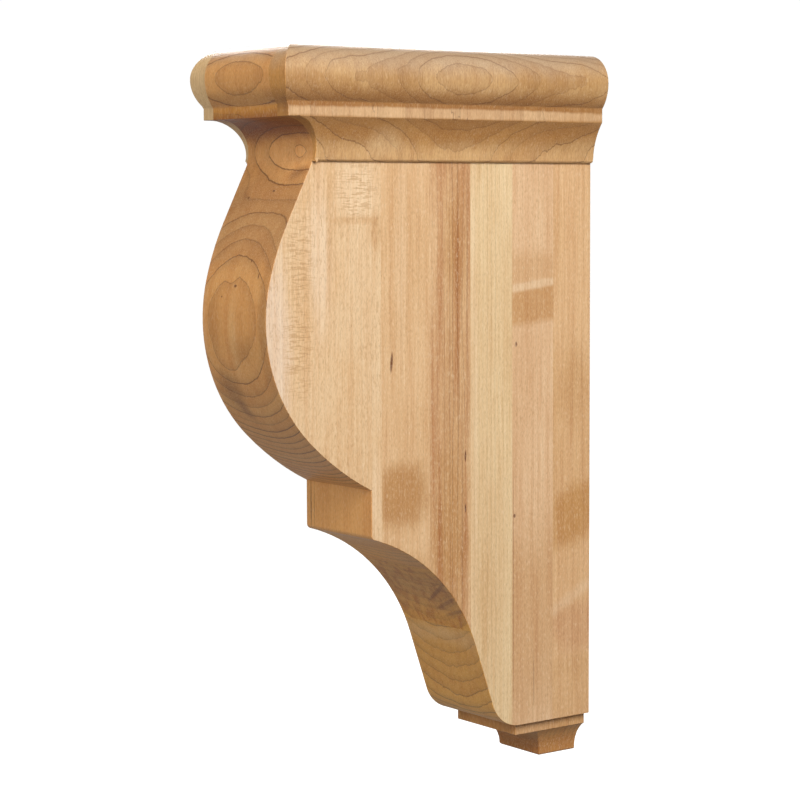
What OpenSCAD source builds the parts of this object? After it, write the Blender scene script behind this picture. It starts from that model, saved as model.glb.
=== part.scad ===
// Wooden corbel bracket, glued up from upright staves, with a moulded cap,
// a full belly, a square step, a long hollow and a small pendant below.
// Outlines are worked out as [out, up] points: distance from the wall, and
// height above the pendant's underside.

/* [Overall] */
// Height from the pendant's underside to the top face
total_h = 355.6; // [320:0.1:430]
// How far the belly stands out from the wall
depth = 196.1; // [165:0.1:240]
// Width between the two flat sides of the body
body_w = 55; // [44:0.5:66]

/* [Staves, from the wall outwards] */
// Stave against the wall
wall_stave_d = 24.6; // [20:0.1:30]
// Second stave
second_stave_d = 26.3; // [20:0.1:32]
// Third stave
third_stave_d = 26.3; // [20:0.1:32]
// Fourth stave
fourth_stave_d = 25.2; // [20:0.1:31]
// Fifth stave; the front stave takes the rest
fifth_stave_d = 28.4; // [22:0.1:35]

/* [Cap] */
// How far the nose stands out beyond each side of the body
nose_side = 13.5; // [9:0.5:18]
// How far the nose's front stays behind the belly
nose_setback = 2.8; // [0:0.1:5]
// Height of the nose's upper round
nose_upper_h = 14.1; // [9:0.5:18]
// Height of the nose's lower round, on the sides
nose_lower_h = 12.6; // [8:0.5:16]
// How far the nose stands beyond the fillet under it
nose_step = 4.6; // [2:0.1:6]
// Height of the fillet on the sides
fillet_h = 6.7; // [4:0.1:10]
// Height of the fillet on the front
front_fillet_h = 5.4; // [3:0.1:9]
// Height of the hollow under the side fillet
cap_hollow_h = 20.3; // [12:0.1:26]
// Thickness of the side moulding at its lower edge
cap_foot = 2; // [1:0.1:3]

/* [Neck and belly] */
// How far the neck is cut in behind the belly
neck_in = 26.9; // [22:0.5:34]
// Radius of the neck's hollow
neck_r = 15.4; // [12:0.1:19]
// Length of the straight between the neck and the shoulder
neck_straight = 29; // [18:0.5:34]
// From the underside of the cap's fillet down to the fullest point of the belly
belly_drop = 94.3; // [78:0.1:115]
// Radius of the belly at its fullest
belly_r = 78.4; // [64:0.5:93]
// Angle above the fullest point where the flatter shoulder starts
shoulder_angle = 14; // [8:1:16]
// Angle below the fullest point where the flatter underside starts
under_angle = 46; // [30:1:50]
// Radius of the belly's underside
under_r = 140.5; // [112:0.5:170]

/* [Step and long hollow] */
// How far the step's face stays behind the belly
step_in = 59; // [50:0.5:72]
// Height of the step's flat face
step_face_h = 21.7; // [14:0.5:28]
// Rounding at the step's lower edge
step_ease = 2.5; // [1:0.1:5]
// Slope of the hollow where it leaves the step
hollow_slope = 16.4; // [5:0.1:25]
// Length of the straight between the hollow and the toe
hollow_straight = 32.8; // [20:0.5:45]
// Radius of the toe
toe_r = 18; // [10:0.1:20]
// Depth of the body's flat underside
foot_d = 46.3; // [40:0.1:56]

/* [Plate and pendant] */
// How far the plate stays inside the body, on the sides
plate_side = 3.8; // [1:0.1:6]
// How far the plate stays inside the body's underside, at the front
plate_front = 0.5; // [0:0.1:5]
// Height of the plate
plate_h = 6; // [3:0.1:9]
// Height of the pendant
pendant_h = 15; // [10:0.1:20]
// Depth of the pendant at its underside
pendant_d = 24.2; // [18:0.1:30]
// How far the pendant flares outwards, up to the plate
pendant_flare = 7.3; // [3:0.1:10]
// Lip between the pendant's flare and the plate's edge
pendant_lip = 0.3; // [0.1:0.1:2]
// Rounding at the pendant's underside
pendant_ease = 1.2; // [0.5:0.1:2]

/* [Hidden] */
// Angle covered by each facet of a round
facet_angle = 3;
// A length that reaches right past the part
past = 2 * (total_h + depth);

foot_z = pendant_h + plate_h;

// Cap, from the top down
nose_mid_z = total_h - nose_upper_h;
fillet_top_z = nose_mid_z - nose_lower_h;
fillet_z = fillet_top_z - fillet_h;
front_fillet_top_z = fillet_z + front_fillet_h;
cap_z = fillet_z - cap_hollow_h;
nose_out = depth - nose_setback;
nose_w = body_w + 2 * nose_side;

// Neck and belly
neck_c = [depth - neck_in + neck_r, fillet_z - neck_r];
belly_c = [depth - belly_r, fillet_z - belly_drop];
shoulder_start = belly_c + belly_r * unit(shoulder_angle);
shoulder_r = joining_r(shoulder_start, shoulder_angle, neck_c, neck_r, neck_straight);
shoulder_c = shoulder_start - shoulder_r * unit(shoulder_angle);
under_c = belly_c + (belly_r - under_r) * unit(-under_angle);
neck_end = crossing_angle(neck_c, neck_r, shoulder_c, shoulder_r);

// Step and long hollow
step_out = depth - step_in;
under_end = -acos((step_out - under_c[0]) / under_r);
step_top_z = under_c[1] + under_r * sin(under_end);
step_c = [step_out - step_ease, step_top_z - step_face_h];
hollow_dir = hollow_slope - 90;
hollow_start = step_c + step_ease * unit(hollow_dir);
toe_c = [foot_d, foot_z + toe_r];
hollow_r = -joining_r(hollow_start, hollow_dir, toe_c, -toe_r, hollow_straight);
hollow_c = hollow_start + hollow_r * unit(hollow_dir);
hollow_end = crossing_angle(hollow_c, hollow_r, toe_c, toe_r);

// Plate and pendant
plate_half_w = body_w / 2 - plate_side;
plate_d = foot_d - plate_front;
pendant_half_w = plate_half_w - pendant_lip - pendant_flare;

// Depth of each stave, and the distance from the wall to its back
stave_d = [wall_stave_d, second_stave_d, third_stave_d, fourth_stave_d, fifth_stave_d, past];
function stave_back(i) = i == 0 ? 0 : stave_back(i - 1) + stave_d[i - 1];

// ---- Geometry of rounds ----

// Point one unit away in direction a
function unit(a) = [cos(a), sin(a)];

// Points round centre c from angle a to angle b; the first is left to what comes before
function arc(c, r, a, b) =
    let (n = max(1, ceil(abs(b - a) / facet_angle)))
    [for (i = [1 : n]) c + r * unit(a + (b - a) * i / n)];

// Direction of point p
function angle_of(p) = atan2(p[1], p[0]);

// Radius of a swell that leaves point p square to direction a, and runs by a straight
// of the given length into a hollow of centre c and radius r. A hollow that leaves p
// for a swell is the same thing turned inside out, with both radii negative.
function joining_r(p, a, c, r, straight) =
    let (v = p - c)
    (v * v - r * r - straight * straight) / (2 * (r + v * unit(a)));

// Angle round the hollow's centre at which its straight leaves it for the swell
function crossing_angle(hollow_c, hollow_r, swell_c, swell_r) =
    let (v = swell_c - hollow_c, turn = (angle_of(v) + 360) % 360)
    turn - acos((hollow_r + swell_r) / norm(v));

// Radius of a round that is upright at one end, h high and d deep
function rise_r(h, d) = (h * h + d * d) / (2 * d);

// ---- Outlines ----

// Nose from its top edge down to the fillet: out is its furthest point
function nose_line(out, lower_h) =
    let (lower_r = rise_r(lower_h, nose_step))
    concat(
        [[out - nose_upper_h, total_h]],
        arc([out - nose_upper_h, nose_mid_z], nose_upper_h, 90, 0),
        arc([out - lower_r, nose_mid_z], lower_r, 0, -asin(lower_h / lower_r)));

// Front of the bracket, from the cap's top edge down to the toe
function front_line() = concat(
    nose_line(nose_out, nose_mid_z - front_fillet_top_z),
    [[nose_out - nose_step, fillet_z], [neck_c[0], fillet_z]],
    arc(neck_c, neck_r, 90, neck_end),
    [shoulder_c + shoulder_r * unit(neck_end - 180)],
    arc(shoulder_c, shoulder_r, neck_end - 180, shoulder_angle),
    arc(belly_c, belly_r, shoulder_angle, -under_angle),
    arc(under_c, under_r, -under_angle, under_end),
    [step_c + [step_ease, 0]],
    arc(step_c, step_ease, 0, hollow_dir),
    arc(hollow_c, hollow_r, hollow_dir + 180, hollow_end),
    [toe_c + toe_r * unit(hollow_end - 180)],
    arc(toe_c, toe_r, hollow_end - 180, -90));

// Side of one cap moulding, from its top edge down to its lower edge
function cap_side_line() =
    let (
        hollow_in = nose_side - nose_step - cap_foot,
        r = rise_r(cap_hollow_h, hollow_in))
    concat(
        nose_line(nose_side, nose_lower_h),
        [[nose_side - nose_step, fillet_z]],
        arc([cap_foot + r, cap_z], r, 180 - asin(cap_hollow_h / r), 180));

// Pendant from the plate down to its underside: out is its furthest point down there
function pendant_line(out) =
    let (
        rise = pendant_h - pendant_ease,
        r = rise_r(rise, pendant_flare))
    concat(
        [[out + pendant_flare, pendant_h]],
        arc([out + r, pendant_ease], r, 180 - asin(rise / r), 180),
        arc([out - pendant_ease, pendant_ease], pendant_ease, 0, -90));

// The same line on the other side of the middle, taken upwards
function mirrored(line) = [for (i = [len(line) - 1 : -1 : 0]) [-line[i][0], line[i][1]]];

// ---- Placing ----

// Puts the origin in the middle of the wall face
module placed() translate([0, 0, -total_h / 2]) children();

// Carries an [out, up] outline across the bracket's width
module across(w) mirror([0, 1, 0]) rotate([90, 0, 90]) linear_extrude(w, center = true) children();

// Carries a [sideways, up] outline out from the wall
module outwards(d) rotate([90, 0, 0]) linear_extrude(d) children();

// ---- Shapes ----

// Everything behind the front line, down to the body's underside
module front_outline() polygon(concat([[0, foot_z], [0, total_h]], front_line()));

module body() across(body_w) front_outline();

module plate()
    translate([-plate_half_w, -plate_d, pendant_h])
        cube([2 * plate_half_w, plate_d, plate_h]);

module pendant() intersection() {
    side = pendant_line(pendant_half_w);
    outwards(past) polygon(concat(side, mirrored(side)));
    across(body_w) polygon(concat([[0, 0], [0, pendant_h]], pendant_line(pendant_d)));
}

// The stave at place i: body, plate and pendant between two glue faces
module stave(i, tone) color(tone) placed() intersection() {
    union() {
        body();
        plate();
        pendant();
    }
    translate([-past / 2, -stave_back(i) - stave_d[i], -past / 2])
        cube([past, stave_d[i], 2 * past]);
}

// The cap moulding glued to the body's right side; its front follows the front line
module cap_moulding() intersection() {
    translate([body_w / 2, 0, 0])
        outwards(past)
            polygon(concat([[-past, cap_z], [-past, total_h]], cap_side_line()));
    translate([body_w / 2, -past, 0])
        cube(past);
    across(nose_w + past) front_outline();
}

// ---- Nodes ----

module wall_stave() stave(0, "#C8975C");
module second_stave() stave(1, "#D9B284");
module third_stave() stave(2, "#DDBC8A");
module fourth_stave() stave(3, "#C99B6A");
module fifth_stave() stave(4, "#D6AC76");
module front_stave() stave(5, "#D4A973");
module left_cap_moulding() color("#CDA069") placed() mirror([1, 0, 0]) cap_moulding();
module right_cap_moulding() color("#CDA069") placed() cap_moulding();

wall_stave();
second_stave();
third_stave();
fourth_stave();
fifth_stave();
front_stave();
left_cap_moulding();
right_cap_moulding();
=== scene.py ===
"""Finishes a glued-up maple corbel: eased arrises, growth rings, ray fleck and a satin finish."""

import math

import bmesh
import bpy
from bpy.props import FloatProperty, FloatVectorProperty, IntProperty, PointerProperty
from mathutils import Matrix, Vector


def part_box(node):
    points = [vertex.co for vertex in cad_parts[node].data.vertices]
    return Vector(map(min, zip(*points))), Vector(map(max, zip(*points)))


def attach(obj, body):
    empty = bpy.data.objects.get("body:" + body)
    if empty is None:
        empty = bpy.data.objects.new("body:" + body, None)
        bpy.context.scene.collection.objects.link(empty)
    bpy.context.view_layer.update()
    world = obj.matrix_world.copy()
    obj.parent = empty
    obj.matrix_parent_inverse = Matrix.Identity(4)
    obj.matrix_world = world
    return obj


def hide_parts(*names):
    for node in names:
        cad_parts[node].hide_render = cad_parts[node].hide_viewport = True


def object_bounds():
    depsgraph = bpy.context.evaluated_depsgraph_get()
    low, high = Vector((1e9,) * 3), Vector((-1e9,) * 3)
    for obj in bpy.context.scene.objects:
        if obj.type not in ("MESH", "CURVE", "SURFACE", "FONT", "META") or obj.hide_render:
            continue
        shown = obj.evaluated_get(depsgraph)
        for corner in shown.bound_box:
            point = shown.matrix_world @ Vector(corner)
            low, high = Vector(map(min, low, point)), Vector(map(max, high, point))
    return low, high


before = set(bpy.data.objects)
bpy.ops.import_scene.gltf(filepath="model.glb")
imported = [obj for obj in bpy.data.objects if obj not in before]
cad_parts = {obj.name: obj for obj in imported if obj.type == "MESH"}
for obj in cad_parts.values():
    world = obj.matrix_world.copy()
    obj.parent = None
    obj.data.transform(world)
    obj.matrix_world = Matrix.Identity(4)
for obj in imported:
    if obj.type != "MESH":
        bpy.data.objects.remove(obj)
cad_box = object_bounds()

bl_info = {
    "name": "Maple Corbel",
    "version": (1, 0, 0),
    "blender": (4, 5, 0),
    "location": "3D View > Sidebar > Corbel",
    "description": "Finishes the boards of a glued-up maple corbel and lights them",
    "category": "Object",
}

MM = 0.001
PER_MM = 1000.0

# Boards from the wall outwards, then the two side mouldings of the cap
STAVES = ("wall_stave", "second_stave", "third_stave", "fourth_stave", "fifth_stave", "front_stave")
MOULDINGS = ("left_cap_moulding", "right_cap_moulding")

# Colour of the light that has bounced about a warm workshop
WARM_BOUNCE = (1.0, 0.74, 0.5)

CAD_LOW, CAD_HIGH = (Vector(corner) for corner in cad_box)
HALF_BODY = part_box("front_stave")[1].x
CAP_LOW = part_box("right_cap_moulding")[0].z
BELLY_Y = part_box("front_stave")[0].y

# Points closer than WELD are one point, and a face within TOUCH of a plane lies in it
WELD = 1e-6
TOUCH = 2 * WELD

# Faces that turn less than FLAT_ANGLE are one face, an edge turns at least ARRIS_ANGLE to be an
# arris, and an edge that turns less than SHARP_ANGLE shows as a smooth curve
FLAT_ANGLE = math.radians(0.15)
ARRIS_ANGLE = math.radians(28)
SHARP_ANGLE = math.radians(40)

# The lower edge of a cap moulding lies within this height of its lowest point
FOOT_HEIGHT = 1.2 * MM

# The foot's round is wider than an arris, so it gets more facets
EXTRA_FOOT_STEPS = 2

# Strength and depth of the grain that can be felt, and how the finish bends light
GRAIN_STRENGTH = 0.35
GRAIN_DEPTH = 0.08 * MM
FINISH_IOR = 1.48

# All the soft lights are square, of one size, and stand equally far off
LIGHT_SIZE = 0.8
LIGHT_DISTANCE = 1.5

# Azimuth round the corbel from its front, and elevation, of each light in degrees
KEY_LIGHT = (78, 32)
FRONT_LIGHT = (-12, 20)
FAR_LIGHT = (-118, 25)

FLOOR_REACH = 8.0
SENSOR_WIDTH = 36.0
NEAREST_SEEN = 0.05
FARTHEST_SEEN = 50.0


# ---- Sizes and colours that a maker may change ----


class CorbelShape(bpy.types.PropertyGroup):
    """How the edges are finished"""

    arris: FloatProperty(
        name="Eased arris", description="How much each outside edge is sanded off",
        default=0.35 * MM, min=0.05 * MM, max=2 * MM, subtype="DISTANCE", unit="LENGTH", precision=5)
    foot_round: FloatProperty(
        name="Foot round", description="Round on the lower edge of the cap's mouldings",
        default=1.7 * MM, min=0.1 * MM, max=1.9 * MM, subtype="DISTANCE", unit="LENGTH", precision=5)
    arris_steps: IntProperty(
        name="Arris steps", description="Facets across each eased edge", default=3, min=1, max=6)


class CorbelWood(bpy.types.PropertyGroup):
    """Colours and gloss that all the boards share"""

    ring_brown: FloatVectorProperty(
        name="Ring line", description="Colour of the thin dark line between two rings",
        default=(0.130, 0.045, 0.012), size=3, min=0, max=1, subtype="COLOR")
    fleck_brown: FloatVectorProperty(
        name="Ray fleck", description="Colour of the small flecks on the sides",
        default=(0.48, 0.27, 0.115), size=3, min=0, max=1, subtype="COLOR")
    roughness: FloatProperty(
        name="Roughness", description="Roughness of the satin finish", default=0.5, min=0, max=1)
    coat: FloatProperty(
        name="Coat", description="Weight of the clear coat", default=0.1, min=0, max=1)
    coat_roughness: FloatProperty(
        name="Coat roughness", description="Roughness of the clear coat", default=0.34, min=0, max=1)


class CorbelStage(bpy.types.PropertyGroup):
    """Camera, lights and floor"""

    camera_place: FloatVectorProperty(
        name="Camera", description="Where the camera stands",
        default=(0.90788, -0.77089, 0.10576), size=3, subtype="TRANSLATION", unit="LENGTH")
    azimuth: FloatProperty(
        name="Azimuth", description="Direction of the camera round the corbel, from the front",
        default=math.radians(53.527), subtype="ANGLE", unit="ROTATION")
    pitch: FloatProperty(
        name="Pitch", description="How far the camera looks down",
        default=math.radians(4.935), subtype="ANGLE", unit="ROTATION")
    roll: FloatProperty(
        name="Roll", description="How far the camera leans sideways",
        default=math.radians(-0.24), subtype="ANGLE", unit="ROTATION")
    lens: FloatProperty(
        name="Lens", description="Focal length in millimetres", default=103.62, min=20, max=300)
    floor_drop: FloatProperty(
        name="Floor drop", description="How far the floor lies below the corbel",
        default=0.12, min=0, max=1, subtype="DISTANCE", unit="LENGTH")
    key_power: FloatProperty(
        name="Key light", description="Power of the large side light", default=26.0, unit="POWER")
    front_power: FloatProperty(
        name="Front light", description="Power of the weaker light in front",
        default=9.0, unit="POWER")
    far_power: FloatProperty(
        name="Far light", description="Power of the light on the far side and the back",
        default=26.0, unit="POWER")
    ambient: FloatProperty(
        name="Ambient", description="Brightness of the room", default=0.12, min=0, max=2)


# ---- Node helpers ----


class Graph:
    """Adds nodes to one tree and joins them up. Every method gives back an output socket."""

    def __init__(self, tree):
        self.tree = tree

    def add(self, kind, inputs=None, **settings):
        node = self.tree.nodes.new("ShaderNode" + kind)
        for name, value in settings.items():
            setattr(node, name, value)
        for name, value in (inputs or {}).items():
            self.feed(node.inputs[name], value)
        return node

    def feed(self, socket, value):
        if isinstance(value, bpy.types.NodeSocket):
            self.tree.links.new(value, socket)
        elif socket.type == "RGBA" and len(value) == 3:
            socket.default_value = (*value, 1.0)
        else:
            socket.default_value = value

    def math(self, operation, a, b=0.0, clamp=False):
        return self.add("Math", {0: a, 1: b}, operation=operation, use_clamp=clamp).outputs[0]

    def total(self, *values):
        result = values[0]
        for value in values[1:]:
            result = self.math("ADD", result, value)
        return result

    def product(self, *values):
        result = values[0]
        for value in values[1:]:
            result = self.math("MULTIPLY", result, value)
        return result

    def vector(self, operation, a, b=(0.0, 0.0, 0.0)):
        return self.add("VectorMath", {0: a, 1: b}, operation=operation).outputs["Vector"]

    def length(self, a):
        return self.add("VectorMath", {0: a}, operation="LENGTH").outputs["Value"]

    def split(self, vector):
        return self.add("SeparateXYZ", {0: vector}).outputs

    def join(self, x, y, z):
        return self.add("CombineXYZ", {0: x, 1: y, 2: z}).outputs[0]

    def step(self, value, low, high, to_low=0.0, to_high=1.0):
        """A smooth rise from to_low to to_high while the value goes from low to high."""
        inputs = {"Value": value, "From Min": low, "From Max": high,
                  "To Min": to_low, "To Max": to_high}
        return self.add("MapRange", inputs, interpolation_type="SMOOTHSTEP").outputs["Result"]

    def rest(self, share):
        """What a share leaves of one."""
        return self.math("SUBTRACT", 1.0, share)

    def noise(self, vector, scale=1.0, detail=2.0, roughness=0.5):
        inputs = {"Vector": vector, "Scale": scale, "Detail": detail, "Roughness": roughness}
        return self.add("TexNoise", inputs).outputs["Fac"]

    def random(self, value):
        return self.add("TexWhiteNoise", {"W": value}, noise_dimensions="1D").outputs["Value"]

    def mix(self, share, a, b, blend="MIX"):
        node = self.add("Mix", data_type="RGBA", blend_type=blend, clamp_factor=True)
        self.feed(node.inputs["Factor"], share)
        self.feed(node.inputs[6], a)
        self.feed(node.inputs[7], b)
        return node.outputs[2]

    def along(self, value, stations):
        """A value that runs smoothly through (place, height) stations."""
        result = stations[0][1]
        for (start, before), (end, after) in zip(stations, stations[1:]):
            rise = self.step(value, start, end, 0.0, after - before)
            result = self.math("ADD", result, rise)
        return result

    def stretched(self, place, scale):
        """A place with each of its directions scaled, so that noise comes out drawn out."""
        return self.vector("MULTIPLY", place, scale)

    def group(self, tree, **inputs):
        node = self.add("Group")
        node.node_tree = tree
        for name, value in inputs.items():
            self.feed(node.inputs[name.replace("_", " ").title()], value)
        return node.outputs


def shared_group(name, inputs, outputs, build):
    """A shader node group with named sockets, made once. build(graph, inputs) gives its outputs."""
    if name in bpy.data.node_groups:
        return bpy.data.node_groups[name]
    tree = bpy.data.node_groups.new(name, "ShaderNodeTree")
    for socket, default in inputs.items():
        kind = "NodeSocketVector" if isinstance(default, tuple) else "NodeSocketFloat"
        tree.interface.new_socket(socket, in_out="INPUT", socket_type=kind).default_value = default
    for socket in outputs:
        tree.interface.new_socket(socket, in_out="OUTPUT", socket_type="NodeSocketFloat")
    graph = Graph(tree)
    taken = tree.nodes.new("NodeGroupInput").outputs
    given = tree.nodes.new("NodeGroupOutput").inputs
    for socket, value in build(graph, taken).items():
        tree.links.new(value, given[socket])
    return tree


# ---- Effects that the boards share ----


def growth_rings():
    """Thin dark lines where the wood's yearly rings reach the surface."""
    least_slope = 0.07
    shuffle = 7.3

    def build(graph, taken):
        place, spacing = taken["Place"], taken["Spacing"]
        slow = graph.noise(graph.stretched(place, (0.045, 0.045, 0.014)), detail=1.0)
        quick = graph.noise(graph.stretched(place, (0.22, 0.22, 0.07)), detail=2.0)
        ragged = graph.noise(graph.stretched(place, (0.9, 0.9, 0.3)), detail=1.0)
        sway = graph.total(
            graph.product(graph.math("SUBTRACT", slow, 0.5), taken["Sway"], 2.0),
            graph.product(graph.math("SUBTRACT", quick, 0.5), taken["Waviness"], 2.0),
            graph.product(graph.math("SUBTRACT", ragged, 0.5), taken["Waviness"], 0.35))
        swayed = graph.math("ADD", taken["Depth"], sway)
        count = graph.math("ADD", graph.math("DIVIDE", swayed, spacing), taken["Seed"])
        within = graph.math("FRACT", count)
        nearest = graph.math("FLOOR", graph.math("ADD", count, 0.5))
        edge = graph.product(graph.math("MINIMUM", within, graph.rest(within)), spacing)
        shown = graph.math("DIVIDE", edge, graph.math("MAXIMUM", taken["Slope"], least_slope))
        line = graph.rest(graph.step(shown, 0.0, taken["Line Width"]))
        weight = graph.step(graph.random(graph.math("ADD", nearest, shuffle)), 0.1, 0.8, 0.35, 1.0)
        return {
            "Line": graph.product(line, weight),
            "Late Wood": graph.step(within, 0.45, 1.0),
            "Tone": graph.random(graph.math("FLOOR", count)),
        }

    inputs = {"Place": (0.0, 0.0, 0.0), "Depth": 0.0, "Slope": 1.0, "Spacing": 3.0, "Line Width": 0.5,
              "Sway": 1.0, "Waviness": 0.3, "Seed": 0.0}
    return shared_group("Growth rings", inputs, ("Line", "Late Wood", "Tone"), build)


def ray_fleck():
    """Short upright flecks and level dashes on the sides, where the rays are cut across."""

    def build(graph, taken):
        place = taken["Place"]
        tall = graph.stretched(place, (0.95, 0.95, 0.36))
        upright = graph.noise(tall, detail=1.5, roughness=0.6)
        clumps = graph.noise(graph.stretched(place, (0.05, 0.05, 0.02)), detail=2.0)
        level = graph.noise(graph.stretched(place, (0.2, 0.2, 1.35)), detail=1.0, roughness=0.6)
        fleck = graph.step(upright, taken["Start"], graph.math("ADD", taken["Start"], 0.12))
        return {"Fleck": graph.product(fleck, graph.step(clumps, 0.3, 0.65, 0.45, 1.0)),
                "Dash": graph.step(level, 0.5, 0.6),
                "Sheen": graph.step(upright, 0.42, 0.3)}

    outputs = ("Fleck", "Dash", "Sheen")
    return shared_group("Ray fleck", {"Place": (0.0, 0.0, 0.0), "Start": 0.55}, outputs, build)


def fibre():
    """Fine streaks that run up the board."""

    def build(graph, taken):
        place = taken["Place"]
        fine = graph.noise(graph.stretched(place, (1.7, 1.7, 0.035)), detail=2.0, roughness=0.65)
        broad = graph.noise(graph.stretched(place, (0.28, 0.28, 0.009)), detail=2.0)
        cloud = graph.noise(graph.stretched(place, (0.035, 0.035, 0.013)), detail=3.0)
        pore = graph.noise(graph.stretched(place, (3.1, 3.1, 0.55)), detail=1.0)
        return {"Fine": fine, "Broad": broad, "Cloud": cloud, "Pore": pore}

    return shared_group("Fibre", {"Place": (0.0, 0.0, 0.0)}, ("Fine", "Broad", "Cloud", "Pore"), build)


def soft_patch():
    """A patch with a soft, slightly ragged edge, rounded or, as far as Square says, squarer.

    Lean is its rise for each millimetre sideways.
    """

    def build(graph, taken):
        wander = graph.noise(graph.stretched(taken["Place"], (0.12, 0.12, 0.08)), detail=3.0)
        apart = graph.vector("SUBTRACT", taken["Place"], taken["Centre"])
        x, y, z = graph.split(graph.vector("MULTIPLY", apart, taken["Lean"]))
        upright = graph.vector("SUBTRACT", apart, graph.join(0.0, 0.0, graph.total(x, y, z)))
        scaled = graph.vector("DIVIDE", upright, taken["Reach"])
        round_away = graph.length(scaled)
        square_away = graph.math("SQRT", graph.length(graph.vector("MULTIPLY", scaled, scaled)))
        squarer = graph.product(graph.math("SUBTRACT", square_away, round_away), taken["Square"])
        away = graph.math("ADD", round_away, squarer)
        ragged = graph.product(graph.math("SUBTRACT", wander, 0.5), taken["Ragged"])
        edge = graph.math("ADD", away, ragged)
        inner = graph.rest(taken["Softness"])
        outer = graph.math("ADD", 1.0, taken["Softness"])
        return {"Patch": graph.rest(graph.step(edge, inner, outer))}

    inputs = {"Place": (0.0, 0.0, 0.0), "Centre": (0.0, 0.0, 0.0), "Reach": (1.0, 1.0, 1.0),
              "Lean": (0.0, 0.0, 0.0), "Softness": 0.4, "Ragged": 0.6, "Square": 0.0}
    return shared_group("Soft patch", inputs, ("Patch",), build)


# ---- What each board looks like ----

# Reach that takes in a whole board, and reach that stays on the near side of one
WHOLE = 400.0
NEAR = 30.0

# Colours are linear. Places are in millimetres in the corbel's own frame.
TAN = (0.60, 0.35, 0.155)
ROSE = (0.60, 0.33, 0.165)
CREAM = (0.85, 0.66, 0.44)
HONEY = (0.50, 0.25, 0.075)
UMBER = (0.30, 0.125, 0.04)
# Grey of a painted reflection, for faces that look up
REFLECTION_GREY = (0.50, 0.35, 0.23)
SHADE = (0.26, 0.07, 0.006)
MINERAL = (0.13, 0.036, 0.010)
FOOT_BROWN = (0.44, 0.18, 0.03)


def patch(centre, reach, colour, strength, softness=0.5, lean=(0.0, 0.0, 0.0), face="all",
          square=0.0):
    """A place on a board with another colour, on its side, its front or both: mostly the wood's own
    colour, in places painted light and shade.
    """
    return {"centre": centre, "reach": reach, "colour": colour, "strength": strength,
            "softness": softness, "lean": lean, "face": face, "square": square}


def side_patch(*place_and_colour, **more):
    """A patch that shows only where the board faces sideways."""
    return patch(*place_and_colour, face="side", **more)


def front_patch(*place_and_colour, **more):
    """A patch that shows only where the board faces forwards or down."""
    return patch(*place_and_colour, face="front", **more)


def mark(centre, reach, strength=0.85, lean=(0.0, 0.0, 0.0)):
    """A small dark mineral mark."""
    return patch(centre, reach, MINERAL, strength, 0.4, lean)


def foot_patches(y):
    """A darker, browner band over the plate and the pendant at the foot."""
    return (patch((0, y, -163), (WHOLE, 60, 5.5), HONEY, 0.6, 0.2),
            patch((0, y, -174), (WHOLE, 60, 6), FOOT_BROWN, 0.85, 0.3))


def look(pale, deep, front, **own):
    """How one board looks: what it has of its own over what all the boards share.

    pale and deep are its colours, and front is painted light and shade on its faces that look
    forwards or down: darker and warmer on the staves and the right moulding, paler on the left one.
    spacing, sway and waviness place its growth rings, line and front_line darken them on the sides and
    the front, and late and tone shade the wood between them. streak, fleck and stipple are strengths.
    zones have level ray dashes, plain places have no rings, swells push the rings outwards, and crown
    sets how deep a moulding's rings lie along it.
    """
    shared = {
        "spacing": 3.2, "sway": 1.6, "waviness": 0.5, "line": 0.08, "front_line": 0.3,
        "late": 0.03, "tone": 0.06, "streak": 0.25, "fleck": 0.3, "stipple": 0.25, "seed": 0.0,
        "zones": (), "plain": (), "swells": (), "patches": ()}
    return {"pale": pale, "deep": deep, "front": front, **shared, **own}


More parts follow.
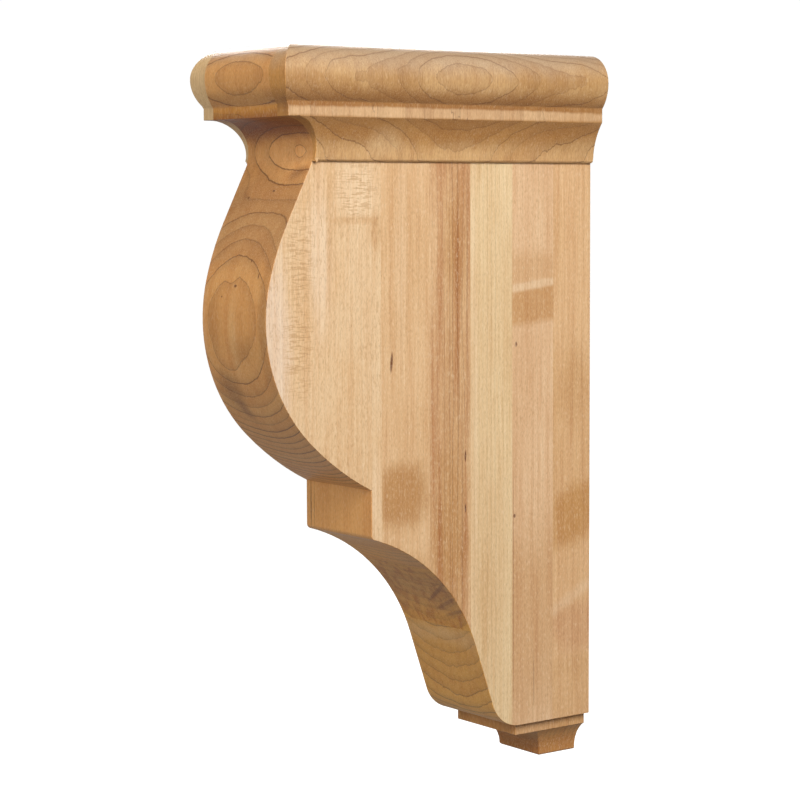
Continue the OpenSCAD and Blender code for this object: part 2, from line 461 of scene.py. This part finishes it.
BOARDS = {
    "wall_stave": look(
        (0.735, 0.475, 0.25), (0.655, 0.395, 0.185), (0.70, 0.34, 0.07),
        seed=0.2, fleck=0.22,
        patches=(
            patch((28, -10, 12), (NEAR, 9, 20), TAN, 0.55),
            patch((28, -8, -52), (NEAR, 17, 14), (0.50, 0.24, 0.06), 0.7, 0.35, (0, 0.35, 0),
                  square=1.0),
            patch((28, -8, -110), (NEAR, 20, 13), ROSE, 0.6, 0.4),
            patch((28, -8, -131), (NEAR, 24, 5), TAN, 0.4, 0.6),
            patch((28, -12, -95), (NEAR, 24, 3), CREAM, 0.35, 0.8, (0, 0.5, 0)),
            *foot_patches(-12),
        )),
    "second_stave": look(
        (0.77, 0.53, 0.315), (0.70, 0.45, 0.25), (0.70, 0.34, 0.07), seed=0.6, fleck=0.35,
        patches=(
            patch((28, -38, 71), (NEAR, 60, 9), TAN, 0.5, 0.5),
            patch((28, -38, 54), (NEAR, 60, 9), (0.50, 0.24, 0.06), 0.6, 0.25, (0, 0.12, 0)),
            patch((28, -38, 64), (NEAR, 60, 2), CREAM, 0.55, 0.5, (0, 0.12, 0)),
            patch((28, -38, -108), (NEAR, 60, 45), (0.60, 0.35, 0.16), 0.65, 0.6),
            *foot_patches(-38),
            patch((28, -50.3, -90), (NEAR, 0.4, 60), UMBER, 0.5, 0.4),
            mark((28, -37, -134), (NEAR, 0.4, 13), 0.3),
            mark((28, -48.5, 35), (NEAR, 0.6, 1.2)),
            mark((28, -49.5, -50.5), (NEAR, 0.7, 0.9)),
        )),
    "third_stave": look(
        (0.79, 0.60, 0.35), (0.73, 0.52, 0.285), (0.76, 0.40, 0.09), seed=0.1, fleck=0.15,
        spacing=2.6, sway=0.9, line=0.13, front_line=0.55,
        patches=(
            patch((0, -75, 0), (WHOLE, 2.2, 120), CREAM, 0.35, 0.5),
            patch((28, -64, -70), (NEAR, 12, 40), TAN, 0.25, 0.8),
        )),
    "fourth_stave": look(
        (0.745, 0.50, 0.275), (0.62, 0.36, 0.175), (0.82, 0.42, 0.07), seed=0.35, fleck=0.2,
        sway=2.2, line=0.3, streak=0.6, front_line=0.12,
        patches=(
            patch((0, -87, 20), (WHOLE, 8, 120), TAN, 0.5, 0.7),
            patch((28, -86, 85), (NEAR, 6, 26), HONEY, 0.45, 0.6),
            patch((0, -90, -60), (WHOLE, 11, 45), HONEY, 0.6, 0.7),
            front_patch((16, 0, -86), (13, WHOLE, 1.0), UMBER, 0.7, 0.5, (0.5, 0, 0)),
            front_patch((18, 0, -92), (10, WHOLE, 1.0), UMBER, 0.6, 0.5, (0.4, 0, 0)),
            front_patch((20, 0, -97), (8, WHOLE, 0.9), UMBER, 0.5, 0.5, (0.3, 0, 0)),
            patch((28, -93.3, -20), (NEAR, 0.5, 100), UMBER, 0.35, 0.6, (0, 9, 0)),
            patch((28, -90, 10), (NEAR, 0.5, 110), UMBER, 0.4, 0.6),
            patch((28, -85, 40), (NEAR, 0.5, 95), UMBER, 0.25, 0.6),
            patch((28, -82.5, -40), (NEAR, 0.5, 80), UMBER, 0.3, 0.6),
            patch((28, -79.2, 60), (NEAR, 0.6, 70), UMBER, 0.4, 0.6),
            mark((28, -80.5, -18.5), (NEAR, 0.5, 2.5)),
            mark((28, -80.5, -44), (NEAR, 0.5, 2.0)),
        )),
    "fifth_stave": look(
        (0.75, 0.505, 0.28), (0.69, 0.44, 0.225), (0.80, 0.38, 0.06), seed=0.8, fleck=0.3,
        patches=(
            side_patch((28, -119, -35), (WHOLE, 14, 14), (0.43, 0.195, 0.045), 0.7, 0.4,
                       square=1.0),
            patch((28, -112, -72), (NEAR, 14, 8), TAN, 0.5, 0.5),
            patch((0, -119, 80), (WHOLE, 3, 50), CREAM, 0.25, 0.7),
            mark((28, -125, 29.5), (NEAR, 0.8, 3.8), 0.9, (0, 2.5, 0)),
        )),
    "front_stave": look(
        (0.78, 0.57, 0.345), (0.73, 0.49, 0.265), (0.76, 0.39, 0.125), seed=0.125, fleck=0.4,
        spacing=2.97, sway=0.5, waviness=0.28, line=0.05, front_line=0.8,
        zones=(
            ((0, -177, 80), (WHOLE, 7, 24)),
            ((0, -145, 110), (WHOLE, 11, 13)),
            ((0, -178, 38), (WHOLE, 8, 22)),
        ),
        plain=(((0, -137, -43), (WHOLE, 5, 16)),),
        swells=(
            ((-5.3, 0, 70), (3.5, WHOLE, 5), 0.9),
            ((-12, 0, 30), (9, WHOLE, 7), -1.6),
            ((8, 0, 36), (12, WHOLE, 6), 0.6),
            ((17.2, 0, 129.6), (5, WHOLE, 5), 1.0),
        ),
        patches=(
            side_patch((28, -192, 36), (NEAR, 9, 42), (0.80, 0.63, 0.47), 0.9),
            side_patch((28, -166, 80), (NEAR, 6, 34), (0.84, 0.66, 0.47), 0.6, 0.6),
            side_patch((28, -145, 111), (NEAR, 12, 13), CREAM, 0.6),
            side_patch((28, -145, 97), (NEAR, 14, 1.8), TAN, 0.5, 0.6),
            side_patch((28, -160, 99), (NEAR, 2.2, 32), TAN, 0.45, 0.6),
            side_patch((28, -134, 91), (NEAR, 4, 8), TAN, 0.6, 0.6),
            side_patch((28, -134, -36), (NEAR, 3, 20), CREAM, 0.5),
            # Painted reflection: grey over the top of the nose
            front_patch((0, 0, 178), (WHOLE, WHOLE, 8), REFLECTION_GREY, 0.75, 0.6),
            # Painted shade under the nose and on the fillet, and a painted shadow under the fillet
            front_patch((0, 0, 153), (WHOLE, WHOLE, 4), HONEY, 0.75, 0.6),
            front_patch((0, 0, 147), (WHOLE, WHOLE, 3), (0.74, 0.36, 0.06), 0.7, 0.3),
            front_patch((0, 0, 141.5), (WHOLE, WHOLE, 5.5), SHADE, 0.92, 0.6),
            # Painted light on the neck below that shadow
            front_patch((4, 0, 126), (24, WHOLE, 7), (0.90, 0.50, 0.185), 0.75, 0.6),
            # Darker over the shoulder: partly the wood's own colour, partly painted shade
            front_patch((0, 0, 97), (WHOLE, WHOLE, 21), (0.40, 0.215, 0.09), 0.6),
            front_patch((0, 0, 2), (WHOLE, WHOLE, 22), (0.60, 0.32, 0.10), 0.4, 0.8),
            front_patch((19.5, 0, 119), (6, WHOLE, 2.5), UMBER, 0.7, 0.8, (0.25, 0, 0)),
            front_patch((-14, 0, 17), (9, WHOLE, 10), (0.27, 0.13, 0.04), 0.6, 0.7),
            front_patch((-9, 0, 7.5), (4, WHOLE, 4), UMBER, 0.75, 0.8, (-0.5, 0, 0)),
            # Painted highlight: a soft upright pale band down the middle of the belly
            front_patch((-1.5, 0, 43), (3, WHOLE, 17), (0.88, 0.56, 0.25), 0.6, 0.9),
            front_patch((7, 0, 37), (12, WHOLE, 6), HONEY, 0.45, 0.8),
            front_patch((-17, 0, 47), (5, WHOLE, 15), HONEY, 0.35, 0.8),
            front_patch((24, 0, 50), (3.5, WHOLE, 26), (0.36, 0.17, 0.05), 0.5, 0.7),
            front_patch((-26.5, 0, 50), (2.5, WHOLE, 40), (0.80, 0.47, 0.22), 0.5, 0.7),
            # Painted shade at the left of the neck, under the fillet
            front_patch((-20, 0, 137), (9, WHOLE, 5), (0.24, 0.07, 0.015), 0.5, 0.8),
            front_patch((0, 0, 88), (20, WHOLE, 5), (0.70, 0.40, 0.16), 0.4, 0.8, (0.3, 0, 0)),
            front_patch((-23.5, -137, -43), (0.45, 3, 12), (0.16, 0.05, 0.01), 0.8, 0.5),
            front_patch((-20.7, -137, -43), (0.3, 3, 12), (0.30, 0.12, 0.03), 0.5, 0.6, (-7, 0, 0)),
            mark((8.4, 0, 78.5), (0.6, WHOLE, 0.6)),
            mark((-0.75, 0, 66.7), (1.1, WHOLE, 0.7)),
            mark((-11.2, 0, 61.5), (0.5, WHOLE, 0.5)),
            mark((17.2, 0, 71.7), (0.5, WHOLE, 1.6)),
            mark((-13.7, 0, 107.7), (0.6, WHOLE, 0.5)),
            mark((5.5, 0, 110.8), (1.0, WHOLE, 0.5)),
        )),
    "left_cap_moulding": look(
        (0.58, 0.345, 0.145), (0.50, 0.28, 0.10), (0.76, 0.53, 0.27), seed=0.3, fleck=0.1,
        spacing=3.8, sway=1.8, waviness=0.6, line=0.6, front_line=0.08, late=0.1, tone=0.3,
        stipple=0.12,
        crown=((-200, 16.0), (-120, 0.0), (-60, 9.0), (0, 4.0))),
    "right_cap_moulding": look(
        (0.61, 0.375, 0.165), (0.51, 0.29, 0.11), (0.66, 0.32, 0.08), seed=0.5, fleck=0.05,
        spacing=3.2, sway=1.2, waviness=0.55, line=0.65, front_line=0.08, streak=0.15, late=0.12,
        tone=0.16, stipple=0.15,
        crown=((-200, 20.0), (-152, 11.0), (-91, 0.0), (-20, 11.0), (8, 15.0)),
        patches=(
            side_patch((40, -178, 155), (WHOLE, 26, 10), (0.42, 0.20, 0.055), 0.5, 0.3),
            # Painted shade along the underside of the nose and the top of the cove, and a painted grey
            # reflection along the top of the nose
            patch((40, -98, 151), (WHOLE, 150, 6), (0.34, 0.145, 0.032), 0.8, 0.6),
            patch((40, -98, 140), (WHOLE, 150, 6), (0.42, 0.19, 0.04), 0.75, 0.5),
            patch((40, -98, 179), (WHOLE, 150, 12), (0.50, 0.37, 0.25), 0.75, 0.5),
            patch((40, -60, 134), (WHOLE, 1.3, 9), HONEY, 0.5, 0.5, (0, 0.9, 0)),
            patch((40, -46, 135), (WHOLE, 1.3, 8), HONEY, 0.5, 0.5, (0, 0.9, 0)),
            patch((40, -76, 136), (WHOLE, 1.2, 7), HONEY, 0.5, 0.5, (0, 0.9, 0)),
            # Painted light along the fillet and the foot of the cove
            side_patch((40, -98, 147), (WHOLE, 150, 2.4), (0.70, 0.46, 0.25), 0.9, 0.3),
            side_patch((40, -98, 126), (WHOLE, 150, 5), (0.68, 0.42, 0.19), 0.7, 0.6),
            side_patch((40, -131, 134), (WHOLE, 8, 6), (0.78, 0.55, 0.30), 0.45, 0.8),
            patch((40, -108, 135), (WHOLE, 9, 7), HONEY, 0.45, 0.6),
            patch((40, -40, 133), (WHOLE, 30, 6), HONEY, 0.3, 0.6, (0, 0.5, 0)),
        )),
}


def ring_depth(graph, node, place):
    """Distance across the rings: in from the front on a stave, in from the side on a moulding."""
    x, y, z = graph.split(place)
    from_belly = graph.math("SUBTRACT", y, BELLY_Y * PER_MM)
    stave_curve = 0.004
    if node in MOULDINGS:
        from_side = graph.math("SUBTRACT", CAD_HIGH.x * PER_MM, graph.math("ABSOLUTE", x))
        depth = graph.math("ADD", from_side, graph.along(y, BOARDS[node]["crown"]))
    elif node == "front_stave":
        curve = graph.along(z, [(85, 0.0059), (120, -0.0036), (140, -0.0036), (156, 0.0034)])
        centre = graph.along(z, [(85, -2.0), (120, 17.0), (140, 17.0), (156, 1.0)])
        aside = graph.math("SUBTRACT", x, centre)
        rise = graph.along(z, [(105, 0.0), (122, -1.0), (140, -1.0), (156, -1.7)])
        depth = graph.total(from_belly, graph.product(curve, aside, aside), rise)
    else:
        depth = graph.math("ADD", from_belly, graph.product(stave_curve, x, x))
    for centre, reach, height in BOARDS[node]["swells"]:
        swell = graph.group(
            soft_patch(), place=place, centre=centre, reach=reach, softness=1.0, ragged=0.0)
        depth = graph.math("ADD", depth, graph.product(swell["Patch"], height))
    return depth


def board_material(node, wood):
    """The wood of one board."""
    board = BOARDS[node]
    material = bpy.data.materials.new(node + "_maple")
    material.use_nodes = True
    tree = material.node_tree
    tree.nodes.clear()
    graph = Graph(tree)

    place = graph.vector("MULTIPLY", graph.add("TexCoord").outputs["Object"], (PER_MM,) * 3)
    normal = graph.split(graph.add("NewGeometry").outputs["Normal"])
    across = normal[0] if node in MOULDINGS else normal[1]
    slope = graph.math("SQRT", graph.math("SUBTRACT", 1.0, graph.product(across, across), True))
    sideways = graph.math("ABSOLUTE", normal[0])
    side = graph.step(sideways, 0.75, 0.97)
    outwards = graph.product(normal[1], -1.0)
    if node in STAVES:
        outwards = graph.math("MAXIMUM", outwards, graph.product(normal[2], -1.0))
    # Faces that look forwards, or down on a stave, which take the painted front colour
    front = graph.step(outwards, 0.2, 0.65)
    top = graph.step(normal[2], 0.6, 0.95)

    # Each board is cut from another place in the wood
    shifted = graph.vector("ADD", place, tuple(along * board["seed"] for along in (37.0, 91.0, 53.0)))
    streak = graph.group(fibre(), place=shifted)
    rings = graph.group(
        growth_rings(), place=place, depth=ring_depth(graph, node, place), slope=slope,
        spacing=board["spacing"], line_width=0.55, sway=board["sway"], waviness=board["waviness"],
        seed=board["seed"])
    fleck = graph.group(ray_fleck(), place=shifted, start=0.56)

    # Colour of the clear wood, painted light and shade on faces that look forwards or down, a painted
    # reflection on faces that look up, and where it is darker or paler
    colour = graph.mix(graph.step(streak["Cloud"], 0.35, 0.68), board["pale"], board["deep"])
    # Painted light and shade: faces that look forwards or down take the front colour, darker and
    # warmer on most boards
    colour = graph.mix(front, colour, board["front"])
    # Painted reflection: faces that look up are mixed towards a grey
    colour = graph.mix(graph.product(top, 0.6), colour, REFLECTION_GREY)
    masks = {"side": (side,), "front": (front,), "all": ()}
    for spot in board["patches"]:
        place_of = {name: spot[name] for name in ("centre", "reach", "softness", "lean", "square")}
        there = graph.group(soft_patch(), place=place, **place_of)["Patch"]
        share = graph.product(there, spot["strength"], *masks[spot["face"]])
        colour = graph.mix(share, colour, spot["colour"])
    broad_streak = graph.step(streak["Broad"], 0.4, 0.7, 0.0, board["streak"])
    streaked = graph.product(broad_streak, graph.rest(top))
    colour = graph.mix(streaked, colour, board["deep"], "MULTIPLY")

    # Growth rings
    ringed = 1.0
    for centre, reach in board["plain"]:
        there = graph.group(soft_patch(), place=place, centre=centre, reach=reach, ragged=0.0)
        ringed = graph.product(ringed, graph.rest(there["Patch"]))
    front_tone, front_late = (0.3, 0.16) if node in STAVES else (0.05, 0.02)
    tone = graph.product(graph.step(front, 0.0, 1.0, board["tone"], front_tone), ringed)
    colour = graph.mix(graph.product(rings["Tone"], tone), colour, board["deep"], "MULTIPLY")
    late = graph.step(front, 0.0, 1.0, board["late"], front_late)
    shaded = graph.product(rings["Late Wood"], late, ringed)
    colour = graph.mix(shaded, colour, tuple(wood.ring_brown))
    strength = graph.step(front, 0.0, 1.0, board["line"], board["front_line"])
    line = graph.product(rings["Line"], strength, ringed)
    colour = graph.mix(line, colour, tuple(wood.ring_brown))

    # Ray fleck, fine fibre and pores
    zone = 0.0
    for centre, reach in board["zones"]:
        there = graph.group(soft_patch(), place=place, centre=centre, reach=reach, softness=0.6)
        zone = graph.math("MAXIMUM", zone, there["Patch"])
    upright = graph.product(fleck["Fleck"], side, board["fleck"], graph.rest(zone))
    colour = graph.mix(upright, colour, tuple(wood.fleck_brown))
    dash = graph.product(fleck["Dash"], side, zone, 0.55)
    colour = graph.mix(dash, colour, tuple(wood.fleck_brown))
    colour = graph.mix(graph.product(fleck["Sheen"], side, board["stipple"]), colour, CREAM)
    fine = graph.step(streak["Fine"], 0.42, 0.72, 0.0, 0.3)
    colour = graph.mix(fine, colour, board["deep"], "MULTIPLY")
    pore = graph.step(streak["Pore"], 0.52, 0.72, 0.0, 0.2)
    colour = graph.mix(pore, colour, tuple(wood.ring_brown))
    sheen = graph.step(streak["Pore"], 0.45, 0.3, 0.0, board["stipple"])
    colour = graph.mix(sheen, colour, CREAM)

    # Fibres stand up a little, and pores and ring lines are sunk
    height = graph.total(
        graph.product(streak["Fine"], 0.5), graph.product(streak["Pore"], -0.35),
        graph.product(line, -0.3))
    bump = graph.add(
        "Bump", {"Strength": GRAIN_STRENGTH, "Distance": GRAIN_DEPTH, "Height": height})
    roughness = graph.step(streak["Fine"], 0.2, 0.8, wood.roughness - 0.05, wood.roughness + 0.07)
    shader = graph.add("BsdfPrincipled", {
        "Base Color": colour, "Roughness": roughness, "Normal": bump.outputs[0],
        "Coat Weight": wood.coat, "Coat Roughness": wood.coat_roughness,
        "IOR": FINISH_IOR})
    graph.add("OutputMaterial", {"Surface": shader.outputs[0]})
    return material


# ---- Boards ----


def glue_planes(node):
    """Planes where a board meets its neighbours, as (axis, place)."""
    low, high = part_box(node)
    if node in MOULDINGS:
        return [(0, low.x if low.x > 0 else high.x)]
    planes = [(1, high.y)] if high.y < -WELD else []
    return planes + ([(1, low.y)] if low.y > BELLY_Y + WELD else [])


def lies_in(face, plane):
    """Whether a face lies in a glue plane."""
    axis, place = plane
    return all(abs(vert.co[axis] - place) < TOUCH for vert in face.verts)


def under_moulding(edge):
    """Whether an edge of a stave runs along the glue line of a cap moulding."""
    return all(abs(abs(vert.co.x) - HALF_BODY) < TOUCH and vert.co.z > CAP_LOW - WELD
               for vert in edge.verts)


def at_foot(edge):
    """Whether an edge of a moulding runs along its lower edge, at the cove's foot."""
    return all(vert.co.z < CAP_LOW + FOOT_HEIGHT for vert in edge.verts)


def outside_arrises(board, planes):
    """The edges that stick out and don't border a glue line."""
    return [edge for edge in board.edges
            if edge.is_convex and edge.calc_face_angle(0.0) > ARRIS_ANGLE
            and not any(lies_in(face, plane) for face in edge.link_faces for plane in planes)]


def ease(board, edges, offset, steps):
    """Rounds edges of a board."""
    bmesh.ops.bevel(board, geom=edges, offset=offset, offset_type="OFFSET", affect="EDGES",
                    segments=steps, profile=0.5, clamp_overlap=False, loop_slide=True)


def eased_board(node, shape):
    """Copies a board from the frame and eases its outside edges, but not those at a glue line."""
    planes = glue_planes(node)
    board = bmesh.new()
    board.from_mesh(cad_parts[node].data)
    bmesh.ops.remove_doubles(board, verts=board.verts, dist=WELD)
    bmesh.ops.dissolve_limit(board, angle_limit=FLAT_ANGLE, verts=board.verts, edges=board.edges)
    if node in MOULDINGS:
        feet = [edge for edge in outside_arrises(board, planes) if at_foot(edge)]
        ease(board, feet, shape.foot_round, shape.arris_steps + EXTRA_FOOT_STEPS)
    done_or_glued = at_foot if node in MOULDINGS else under_moulding
    arrises = [edge for edge in outside_arrises(board, planes) if not done_or_glued(edge)]
    ease(board, arrises, shape.arris, shape.arris_steps)
    for face in board.faces:
        face.smooth = True
    for edge in board.edges:
        glued = [any(lies_in(face, plane) for plane in planes) for face in edge.link_faces]
        edge.smooth = edge.calc_face_angle(0.0) < SHARP_ANGLE and len(set(glued)) < 2
    mesh = bpy.data.meshes.new(node + "_board")
    board.to_mesh(mesh)
    board.free()
    piece = bpy.data.objects.new(node + "_board", mesh)
    bpy.context.scene.collection.objects.link(piece)
    weighted = piece.modifiers.new("Flat faces stay flat", "WEIGHTED_NORMAL")
    weighted.keep_sharp = True
    return piece


def finish_boards(context, nodes):
    """Makes each board's finished piece and puts it in place of the board from the frame."""
    shape, wood = context.scene.corbel_shape, context.scene.corbel_wood
    for node in nodes:
        piece = eased_board(node, shape)
        if not piece.data.polygons:
            raise RuntimeError(f"{node} came out empty")
        piece.data.materials.append(board_material(node, wood))
        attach(piece, "root")
        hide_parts(node)


# ---- Stage ----


def aim(obj, place, target, roll=0.0):
    """Stands a light or camera at a place and turns it to a target."""
    back = (place - target).normalized()
    right = Vector((0, 0, 1)).cross(back).normalized()
    up = back.cross(right)
    turned_right = right * math.cos(roll) + up * math.sin(roll)
    turned_up = up * math.cos(roll) - right * math.sin(roll)
    turned = Matrix((turned_right, turned_up, back)).transposed().to_4x4()
    obj.matrix_world = Matrix.Translation(place) @ turned


def direction(azimuth, elevation):
    """A direction outwards from the corbel: azimuth from its front, elevation above level."""
    level = math.cos(elevation)
    return Vector((math.sin(azimuth) * level, -math.cos(azimuth) * level, math.sin(elevation)))


def soft_light(name, angles, power):
    """A square light that faces the middle of the corbel."""
    lamp = bpy.data.lights.new(name, "AREA")
    lamp.shape = "SQUARE"
    lamp.size = LIGHT_SIZE
    lamp.energy = power
    light = bpy.data.objects.new(name, lamp)
    bpy.context.scene.collection.objects.link(light)
    middle = (CAD_LOW + CAD_HIGH) / 2
    azimuth, elevation = (math.radians(angle) for angle in angles)
    aim(light, middle + LIGHT_DISTANCE * direction(azimuth, elevation), middle)


def pale_floor(drop):
    """A plain floor that looks white to the camera, but throws back only a little light."""
    mesh = bpy.data.meshes.new("floor")
    height = CAD_LOW.z - drop
    square = ((-1, -1), (1, -1), (1, 1), (-1, 1))
    corners = [(x * FLOOR_REACH, y * FLOOR_REACH, height) for x, y in square]
    mesh.from_pydata(corners, [], [(0, 1, 2, 3)])
    floor = bpy.data.objects.new("floor", mesh)
    bpy.context.scene.collection.objects.link(floor)
    material = bpy.data.materials.new("pale_floor")
    material.use_nodes = True
    graph = Graph(material.node_tree)
    material.node_tree.nodes.clear()
    paper = graph.noise(graph.add("TexCoord").outputs["Object"], scale=60.0, detail=3.0)
    colour = graph.mix(graph.step(paper, 0.3, 0.7), (0.20, 0.20, 0.20), (0.18, 0.18, 0.18))
    path = graph.add("LightPath").outputs
    reflected = graph.product(path["Is Glossy Ray"], 0.15)
    glow = graph.math("ADD", path["Is Camera Ray"], reflected)
    shader = graph.add("BsdfPrincipled", {
        "Base Color": colour, "Roughness": 0.9, "Emission Color": (1.0, 1.0, 1.0),
        "Emission Strength": glow})
    graph.add("OutputMaterial", {"Surface": shader.outputs[0]})
    mesh.materials.append(material)


def white_room(ambient):
    """A room that looks white to the camera and lights the corbel dimly and warmly."""
    seen_brightness = 1.02
    world = bpy.data.worlds.new("white_room")
    world.use_nodes = True
    graph = Graph(world.node_tree)
    world.node_tree.nodes.clear()
    seen = graph.add("LightPath").outputs["Is Camera Ray"]
    strength = graph.step(seen, 0.0, 1.0, ambient, seen_brightness)
    colour = graph.mix(seen, WARM_BOUNCE, (1.0, 1.0, 1.0))
    back = graph.add("Background", {"Color": colour, "Strength": strength})
    graph.add("OutputWorld", {"Surface": back.outputs[0]})
    bpy.context.scene.world = world


def stand_camera(stage):
    """Stands the camera where the stage settings say and turns it to the corbel."""
    data = bpy.data.cameras.new("camera")
    data.lens = stage.lens
    data.sensor_width = SENSOR_WIDTH
    data.clip_start = NEAREST_SEEN
    data.clip_end = FARTHEST_SEEN
    camera = bpy.data.objects.new("camera", data)
    bpy.context.scene.collection.objects.link(camera)
    place = Vector(stage.camera_place)
    aim(camera, place, place - direction(stage.azimuth, stage.pitch), stage.roll)
    bpy.context.scene.camera = camera


# ---- Operators ----


class CORBEL_OT_staves(bpy.types.Operator):
    """Finish the six upright staves of the body"""

    bl_idname = "corbel.staves"
    bl_label = "Staves"

    def execute(self, context):
        finish_boards(context, STAVES)
        return {"FINISHED"}


class CORBEL_OT_cap_mouldings(bpy.types.Operator):
    """Finish the two mouldings on the sides of the cap"""

    bl_idname = "corbel.cap_mouldings"
    bl_label = "Cap mouldings"

    def execute(self, context):
        finish_boards(context, MOULDINGS)
        return {"FINISHED"}


class CORBEL_OT_stage(bpy.types.Operator):
    """Set up the floor, the lights and the camera"""

    bl_idname = "corbel.stage"
    bl_label = "Stage"

    def execute(self, context):
        stage = context.scene.corbel_stage
        context.scene.view_settings.view_transform = "Standard"
        pale_floor(stage.floor_drop)
        white_room(stage.ambient)
        soft_light("key_light", KEY_LIGHT, stage.key_power)
        soft_light("front_light", FRONT_LIGHT, stage.front_power)
        soft_light("far_light", FAR_LIGHT, stage.far_power)
        stand_camera(stage)
        return {"FINISHED"}


class CORBEL_PT_making(bpy.types.Panel):
    """Lists the steps that make the corbel"""

    bl_idname = "CORBEL_PT_making"
    bl_label = "Corbel"
    bl_space_type = "VIEW_3D"
    bl_region_type = "UI"
    bl_category = "Corbel"

    def draw(self, context):
        for title, group, operators in STEPS:
            box = self.layout.box()
            box.label(text=title)
            settings = getattr(context.scene, group)
            for name in settings.__annotations__:
                box.prop(settings, name)
            for operator in operators:
                box.operator(operator.bl_idname)


STEPS = (
    ("Edges", "corbel_shape", ()),
    ("Wood", "corbel_wood", (CORBEL_OT_staves, CORBEL_OT_cap_mouldings)),
    ("Stage", "corbel_stage", (CORBEL_OT_stage,)),
)
GROUPS = {"corbel_shape": CorbelShape, "corbel_wood": CorbelWood, "corbel_stage": CorbelStage}
OPERATORS = (CORBEL_OT_staves, CORBEL_OT_cap_mouldings, CORBEL_OT_stage)


def register():
    for name, group in GROUPS.items():
        bpy.utils.register_class(group)
        setattr(bpy.types.Scene, name, PointerProperty(type=group))
    for made in (*OPERATORS, CORBEL_PT_making):
        bpy.utils.register_class(made)


def unregister():
    for made in (CORBEL_PT_making, *reversed(OPERATORS)):
        bpy.utils.unregister_class(made)
    for name, group in GROUPS.items():
        delattr(bpy.types.Scene, name)
        bpy.utils.unregister_class(group)


def main():
    register()
    bpy.ops.corbel.staves()
    bpy.ops.corbel.cap_mouldings()
    bpy.ops.corbel.stage()


if __name__ == "__main__":
    main()
